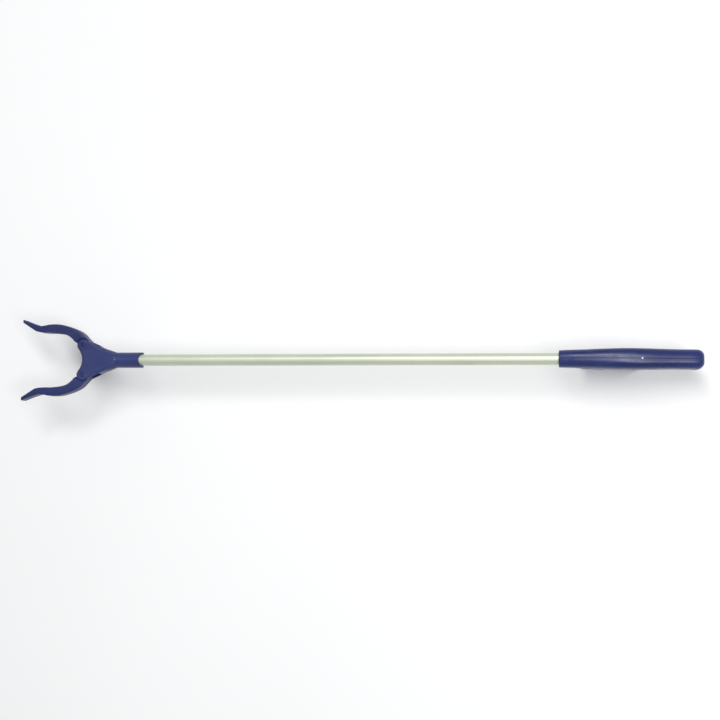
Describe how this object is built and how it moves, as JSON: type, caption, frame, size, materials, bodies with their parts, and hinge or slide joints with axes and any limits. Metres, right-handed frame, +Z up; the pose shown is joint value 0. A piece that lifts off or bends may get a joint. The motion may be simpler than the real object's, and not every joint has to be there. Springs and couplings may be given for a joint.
{
  "type": "reacher grabber",
  "caption": "Hand-held reacher: a slim tube with toothed swinging jaws at one end and a handle with a squeeze trigger at the other, worked by a pull rod inside the tube.",
  "frame": {"origin": "on the tube's axis, midway between the head's socket mouth and the handle's front end", "axes": "+X along the tube from the jaws to the handle, +Z up with the trigger below the handle, the jaws swing in the XY plane"},
  "size_m": [0.8236, 0.1006, 0.0803],
  "materials": {
    "tube_aluminium": "satin anodised, pale champagne",
    "bush_plastic": "natural moulded",
    "head_plastic": "moulded, semi-gloss",
    "pivot_pin_plastic": "moulded, semi-gloss",
    "jaw_plastic": "moulded, fine texture",
    "handle_plastic": "moulded, semi-gloss",
    "trigger_plastic": "moulded, semi-gloss",
    "drive_plastic": "moulded",
    "rivet_steel": "plain",
    "screw_steel": "zinc plated",
    "pin_steel": "ground",
    "rod_steel": "drawn wire",
    "nut_steel": "zinc plated",
    "spring_steel": "spring wire"
  },
  "bodies": {
    "frame": {"tube": "tube_aluminium", "front_bush": "bush_plastic", "rear_bush": "bush_plastic", "head_shell_top": "head_plastic", "head_shell_bottom": "head_plastic", "jaw_pivot_pins": "pivot_pin_plastic", "head_rivets": "rivet_steel", "head_screws": "screw_steel", "handle_shell_left": "handle_plastic", "handle_shell_right": "handle_plastic", "handle_screws": "screw_steel", "trigger_pivot_pin": "pin_steel", "tube_lock_pin": "pin_steel"},
    "rod": {"pull_rod": "rod_steel", "rod_front_nut": "nut_steel", "crosshead": "drive_plastic", "drive_pins": "pin_steel", "return_spring": "spring_steel", "rod_clevis": "drive_plastic", "clevis_pin": "pin_steel", "rod_rear_nut": "nut_steel"},
    "jaw_left": {"jaw_left": "jaw_plastic"},
    "jaw_right": {"jaw_right": "jaw_plastic"},
    "trigger": {"trigger": "trigger_plastic"}
  },
  "joints": [
    {"name": "trigger_pull", "type": "hinge", "parent": "frame", "child": "trigger", "pos_m": [0.284, 0, 0.005], "axis": [0, -1, 0], "range_deg": [0, 23.6], "stiffness_Nm_per_rad": 0.35, "springref_deg": -17.19},
    {"name": "rod_slide", "type": "slide", "parent": "frame", "child": "rod", "axis": [1, 0, 0], "range_m": [0, 0.0056], "deforming": ["return_spring"]},
    {"name": "jaw_left_pivot", "type": "hinge", "parent": "frame", "child": "jaw_left", "pos_m": [-0.3263, -0.0183, 0], "axis": [0, 0, -1], "range_deg": [0, 32]},
    {"name": "jaw_right_pivot", "type": "hinge", "parent": "frame", "child": "jaw_right", "pos_m": [-0.3263, 0.0183, 0], "axis": [0, 0, 1], "range_deg": [0, 32]}
  ],
  "couplings": [
    {"joint": "rod_slide", "follows": "trigger_pull", "m_per_rad": 0.013593},
    {"joint": "jaw_left_pivot", "follows": "trigger_pull", "ratio": 1.3557},
    {"joint": "jaw_right_pivot", "follows": "trigger_pull", "ratio": 1.3557}
  ]
}
